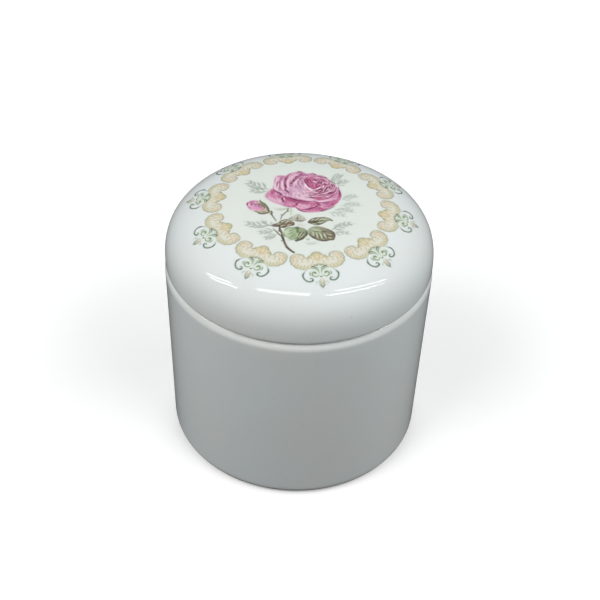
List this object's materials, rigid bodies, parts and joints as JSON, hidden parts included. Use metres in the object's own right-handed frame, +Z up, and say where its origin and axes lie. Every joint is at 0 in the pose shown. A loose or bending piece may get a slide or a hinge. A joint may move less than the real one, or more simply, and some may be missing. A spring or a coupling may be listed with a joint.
{
  "type": "porcelain powder jar",
  "caption": "Round glazed porcelain vanity jar with straight walls and a lift-off domed lid printed with a rose spray and a scroll garland.",
  "frame": {"origin": "centre of the foot ring, on the surface the jar stands on", "axes": "+Z up the jar's axis; -Y towards the side the rose spray is read from; +X to its right"},
  "size_m": [0.1, 0.1, 0.1011],
  "materials": {
    "jar_porcelain": "clear glossy glaze, unglazed foot ring and rim",
    "lid_porcelain": "clear glossy glaze, unglazed seat and flange edge",
    "rose_print": "fired-on overglaze print, glossy",
    "border_print": "fired-on overglaze print, glossy"
  },
  "bodies": {
    "jar": {"jar_body": "jar_porcelain"},
    "lid": {"lid": "lid_porcelain", "rose_transfer": "rose_print", "border_transfer": "border_print"}
  },
  "joints": [
    {"name": "lid_lift", "type": "slide", "parent": "jar", "child": "lid", "axis": [0, 0, 1], "range_m": [0, 0.1]}
  ]
}
